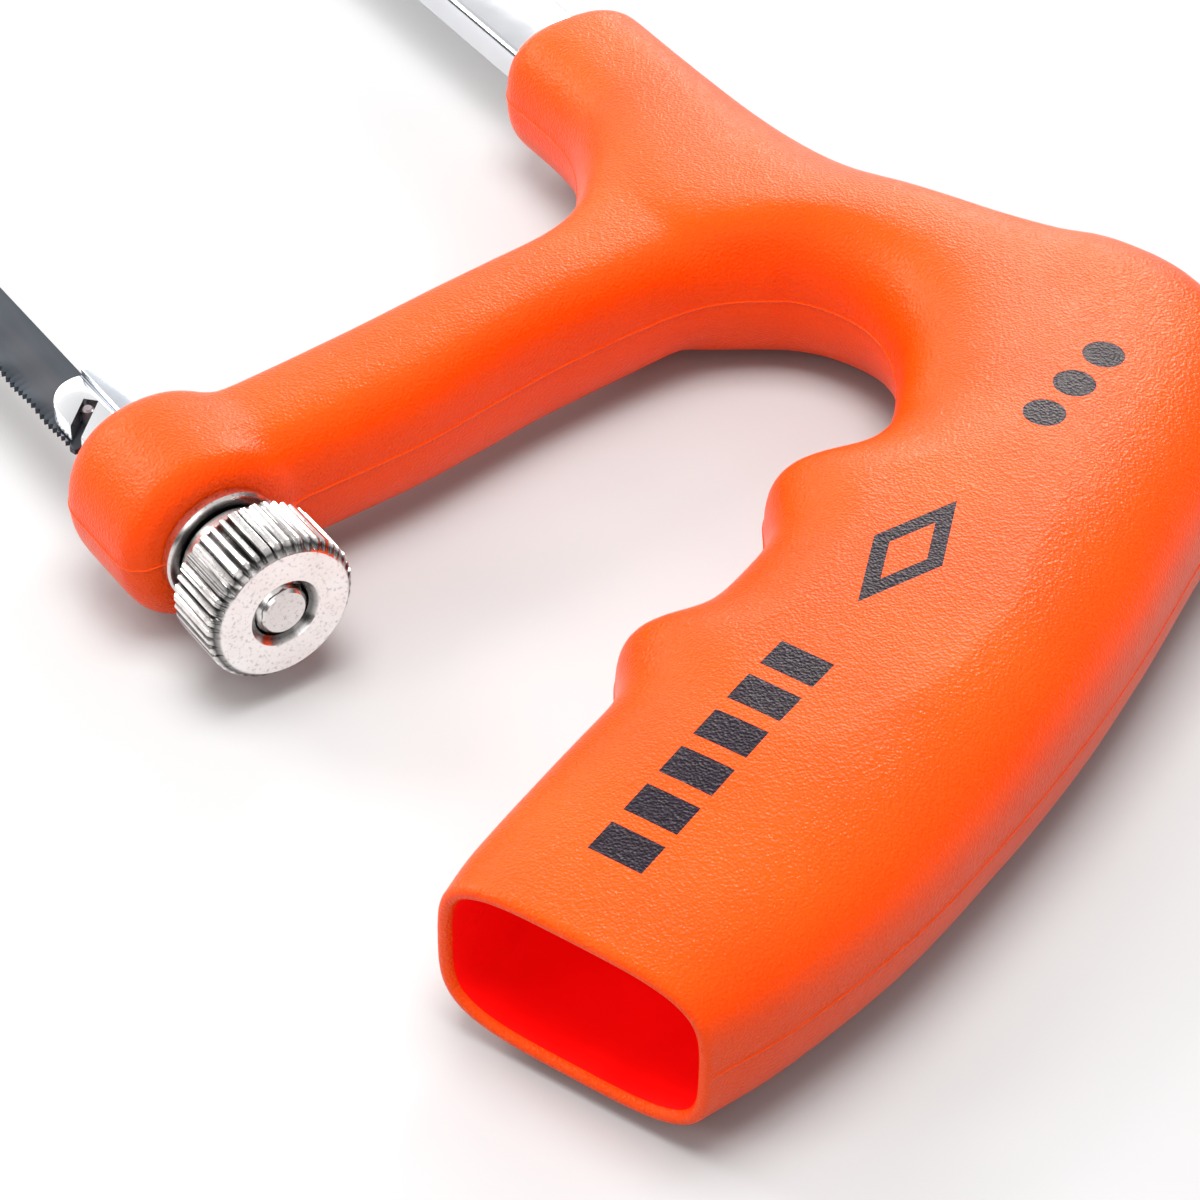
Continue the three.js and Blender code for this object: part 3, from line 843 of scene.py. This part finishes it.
def make_nut():
    low = (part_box("tension_nut")[0][0] - DATUM.x) / MM
    ridges, groove, knurl_foot = 42, 0.6, 6.6
    sides = 12 * ridges

    def knurled(along, radius, turn):
        if radius < knurl_foot or not NUT_HUB_END - 0.05 < along < NUT_RIM_END + 0.3:
            return radius
        count = turn * ridges / (2 * math.pi)
        tooth = math.floor(count)
        uneven = 0.7 + 0.3 * math.sin(7.3 * tooth + 1.7)
        flat = 0.42 + 0.22 * math.sin(4.1 * tooth + 0.6)
        phase = abs((count % 1) - 0.5) * 2
        nick = 0.1 * max(0.0, math.sin(11.9 * tooth)) * max(0.0, 1 - abs(phase - 0.3) / 0.12)
        return radius - nick - groove * uneven * max(0.0, (phase - flat) / (1 - flat))

    inner, hub, face, sink, edge = THREAD_RADIUS + GAP * 0.5, 4.6, 6.25, 3.25, 0.18
    profile = [(low, inner), (low, hub - edge), (low + edge, hub), (NUT_HUB_END, hub),
               (NUT_HUB_END, NUT_RADIUS - 0.7), (NUT_HUB_END + 0.35, NUT_RADIUS),
               (NUT_HUB_END + 2.5, NUT_RADIUS), (NUT_RIM_END - 0.1, NUT_RADIUS),
               (NUT_RIM_END + 0.25, NUT_RADIUS - 0.2), (NUT_END - 0.12, face + 0.1),
               (NUT_END, face - 0.08), (NUT_END, sink + 0.06), (NUT_END - 0.06, sink), (NUT_END - 0.6, inner)]
    mesh = revolve("tension_nut_detail", profile, sides, knurled)
    piece = make_object("tension_nut_detail", fix_normals(mesh), PLATED_NUT)
    shade(piece, 28)
    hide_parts("tension_nut")
    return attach(piece, "nut")


# ---- Camera, light and floor --------------------------------------------------------------------

def make_camera():
    azimuth, elevation, roll = math.radians(54.8), math.radians(41.7), math.radians(1.0)
    distance, aim = 338.8, Vector((45.3, 23.0, 0))
    ahead = Vector((-math.sin(azimuth) * math.cos(elevation), math.cos(azimuth) * math.cos(elevation),
                    -math.sin(elevation)))
    camera = bpy.data.objects.new("camera", bpy.data.cameras.new("camera"))
    camera.data.lens = 120
    camera.data.sensor_width = 36
    camera.data.clip_start = 0.01
    camera.rotation_mode = "QUATERNION"
    turn = ahead.to_track_quat("-Z", "Y")
    camera.rotation_quaternion = turn @ Matrix.Rotation(roll, 3, "Z").to_quaternion()
    camera.location = to_row(aim - ahead * distance)
    bpy.context.scene.collection.objects.link(camera)
    bpy.context.scene.camera = camera


def add_light(name, place, aim, size, power, mirrored=True):
    light = bpy.data.lights.new(name, "AREA")
    light.shape = "RECTANGLE"
    light.size, light.size_y = size
    light.energy = power
    lamp = bpy.data.objects.new(name, light)
    lamp.visible_glossy = mirrored
    lamp.location = to_row(place)
    lamp.rotation_mode = "QUATERNION"
    lamp.rotation_quaternion = (to_row(aim) - lamp.location).to_track_quat("-Z", "Y")
    bpy.context.scene.collection.objects.link(lamp)


def make_studio():
    centre = (30, 30, 0)
    add_light("overhead", (60, 0, 500), centre, (0.3, 0.3), 3.8, mirrored=False)
    add_light("backlight", (-380, 295, 200), centre, (0.5, 0.25), 0.8)
    add_light("left", (-377, -164, 283), centre, (0.25, 0.2), 1.8)
    add_light("neck", (-250, 380, 208), (16, 6, 8), (0.13, 0.13), 0.9)
    add_light("front", (-50, -380, 218), (26, 65, 6), (0.12, 0.1), 0.4)
    add_light("behind_camera", (420, -200, 260), centre, (0.3, 0.2), 0.3)
    world = bpy.data.worlds.new("studio")
    world.use_nodes = True
    tree = world.node_tree
    direction = tree.nodes.new("ShaderNodeTexCoord").outputs["Generated"]
    split = tree.nodes.new("ShaderNodeSeparateXYZ")
    tree.links.new(direction, split.inputs[0])
    sky = tree.nodes.new("ShaderNodeValToRGB")
    tree.links.new(split.outputs["Z"], sky.inputs["Fac"])
    levels = sky.color_ramp.elements
    levels.new(0.35)
    levels.new(0.62)
    for level, brightness in zip(levels, (0.05, 0.2, 0.95, 0.5)):
        level.color = (brightness, brightness, brightness, 1)
    tree.links.new(sky.outputs["Color"], tree.nodes["Background"].inputs["Color"])
    tree.nodes["Background"].inputs["Strength"].default_value = 1.0
    bpy.context.scene.world = world


def make_floor():
    size = 3.0
    mesh = bpy.data.meshes.new("floor")
    corners = [(-size, -size, 0), (size, -size, 0), (size, size, 0), (-size, size, 0)]
    mesh.from_pydata(corners, [], [(0, 1, 2, 3)])
    floor = make_object("floor", mesh)
    nodes = Nodes("floor_paper")
    color = nodes.ramp(nodes.noise(30, 2), (0.3, (0.4, 0.4, 0.4)), (0.7, (0.42, 0.42, 0.42)))
    mesh.materials.append(nodes.done(Base_Color=color, Roughness=0.9))


# ---- The scene ----------------------------------------------------------------------------------

PLASTIC = orange_plastic()
INSIDE_PAINTED_GLOW = painted_glow_inside()
CHROME_BAR = chrome("chromed_steel", (0.66, 0.67, 0.70), (0.78, 0.79, 0.82))
CHROME_HEAD = chrome("chromed_steel_head", (0.95, 0.96, 0.98), (0.99, 0.99, 1.0))
# The radii listed with each plated material set where painted shade darkens it.
PLATED = plated_steel("plated_steel", (0, 0.8), (2.2, 0.8), (2.5, 0.6))
PLATED_WASHER = plated_steel("plated_steel_washer", (0, 0.12), (5.2, 0.2), (5.45, 0.7), (5.7, 0.8))
PLATED_NUT = plated_steel("plated_steel_nut", (0, 0.1), (2.9, 0.16), (3.2, 0.5), (3.35, 1.0), (6.2, 1.0),
                          (6.4, 0.4), (6.7, 0.1), (6.9, 0.6), (7.05, 0.95))
BLADE = blade_steel()
PIN = pin_steel()

make_camera()
make_studio()
make_floor()
make_handle()
make_frame_bar()
make_blade()
make_pin("front_blade_pin")
make_pin("rear_blade_pin")
make_drawbolt_head()
make_drawbolt_shank()
make_washer()
make_nut()

bpy.context.scene.view_settings.view_transform = "Standard"
